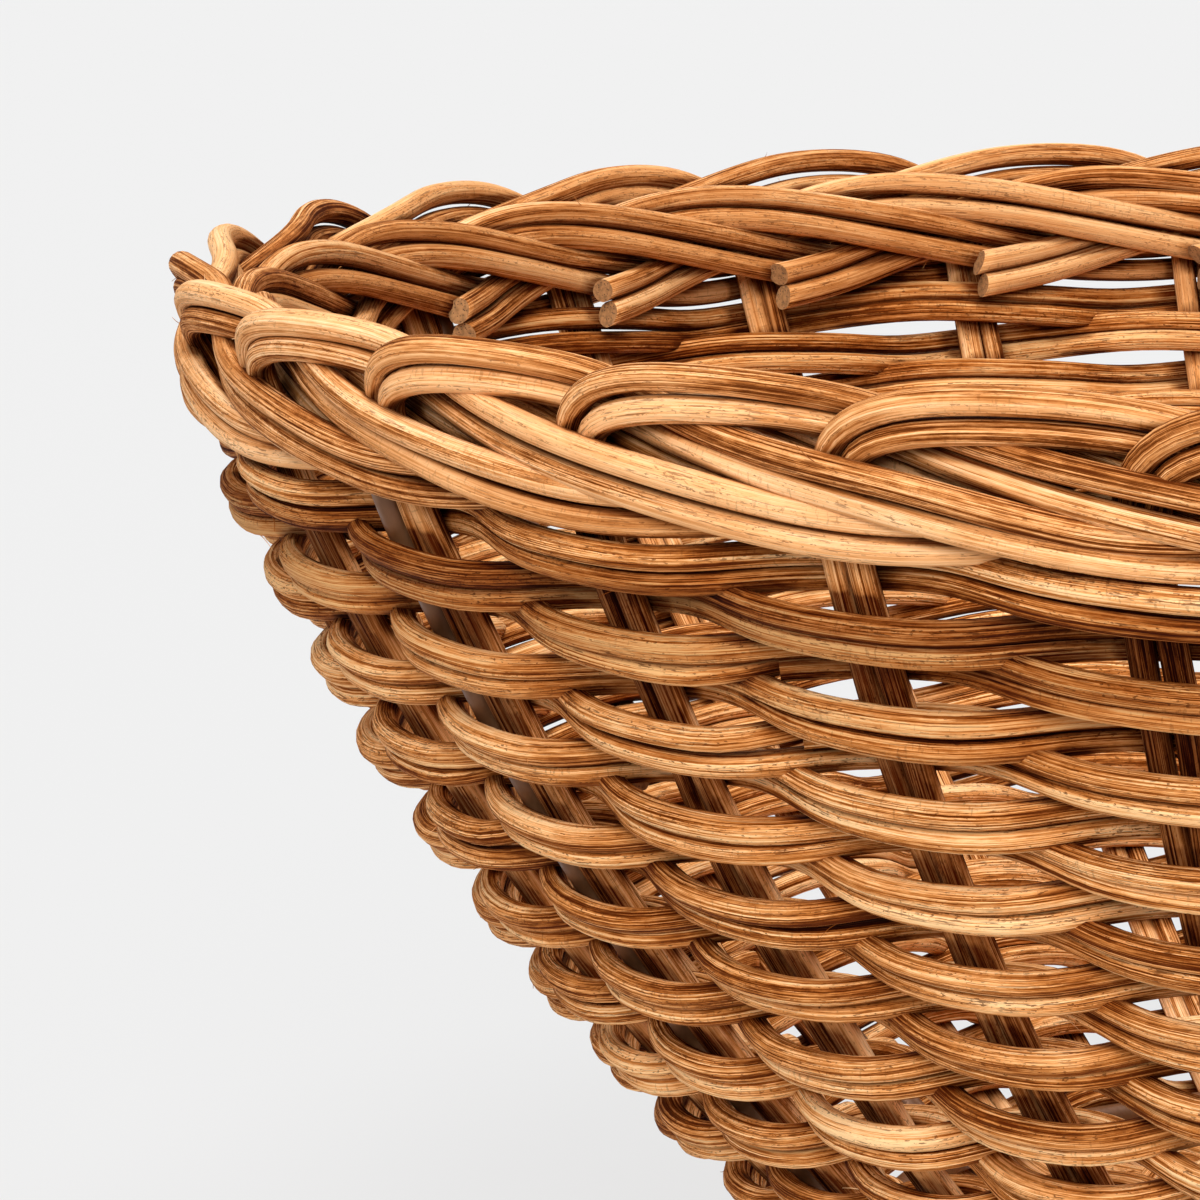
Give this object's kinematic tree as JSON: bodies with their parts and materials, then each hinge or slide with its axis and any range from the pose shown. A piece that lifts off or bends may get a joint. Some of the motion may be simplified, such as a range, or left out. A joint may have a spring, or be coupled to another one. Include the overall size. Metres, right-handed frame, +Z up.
{
  "type": "wastebasket",
  "caption": "Round open wastebasket woven from doubled rattan rods, with a flared bowl-shaped wall, a rolled rope border and a foot ring.",
  "frame": {"origin": "middle of the footprint, on the floor", "axes": "+Z up through the middle of the basket; X and Y lie in the floor, and the first pair of stakes stands on the -Y side"},
  "size_m": [0.3848, 0.3842, 0.1506],
  "materials": {
    "stake_rattan": "peeled rattan rod, satin, fine dark grain along the rod",
    "weaver_rattan": "peeled rattan rod, satin, darker honey brown with streaks",
    "base_rattan": "peeled rattan rod, satin",
    "foot_cane": "thick rattan cane, satin",
    "frame_steel": "plain drawn wire, dull"
  },
  "bodies": {
    "root": {"stake_pair_01": "stake_rattan", "stake_pair_02": "stake_rattan", "stake_pair_03": "stake_rattan", "stake_pair_04": "stake_rattan", "stake_pair_05": "stake_rattan", "stake_pair_06": "stake_rattan", "stake_pair_07": "stake_rattan", "stake_pair_08": "stake_rattan", "stake_pair_09": "stake_rattan", "stake_pair_10": "stake_rattan", "stake_pair_11": "stake_rattan", "stake_pair_12": "stake_rattan", "stake_pair_13": "stake_rattan", "stake_pair_14": "stake_rattan", "stake_pair_15": "stake_rattan", "stake_pair_16": "stake_rattan", "stake_pair_17": "stake_rattan", "stake_pair_18": "stake_rattan", "stake_pair_19": "stake_rattan", "stake_pair_20": "stake_rattan", "stake_pair_21": "stake_rattan", "stake_pair_22": "stake_rattan", "stake_pair_23": "stake_rattan", "stake_pair_24": "stake_rattan", "stake_pair_25": "stake_rattan", "stake_pair_26": "stake_rattan", "stake_pair_27": "stake_rattan", "stake_pair_28": "stake_rattan", "stake_pair_29": "stake_rattan", "stake_pair_30": "stake_rattan", "weaver_course_01": "weaver_rattan", "weaver_course_02": "weaver_rattan", "weaver_course_03": "weaver_rattan", "weaver_course_04": "weaver_rattan", "weaver_course_05": "weaver_rattan", "weaver_course_06": "weaver_rattan", "weaver_course_07": "weaver_rattan", "weaver_course_08": "weaver_rattan", "weaver_course_09": "weaver_rattan", "weaver_course_10": "weaver_rattan", "weaver_course_11": "weaver_rattan", "weaver_course_12": "weaver_rattan", "weaver_course_13": "weaver_rattan", "weaver_course_14": "weaver_rattan", "weaver_course_15": "weaver_rattan", "weaver_course_16": "weaver_rattan", "weaver_course_17": "weaver_rattan", "weaver_course_18": "weaver_rattan", "weaver_course_19": "weaver_rattan", "weaver_course_20": "weaver_rattan", "weaver_course_21": "weaver_rattan", "weaver_course_22": "weaver_rattan", "base_sticks_lower": "base_rattan", "base_sticks_upper": "base_rattan", "base_centre_weaving": "base_rattan", "base_weaving": "base_rattan", "frame_hoop": "frame_steel", "frame_uprights": "frame_steel", "foot_ring": "foot_cane", "foot_nails": "frame_steel"}
  },
  "joints": []
}
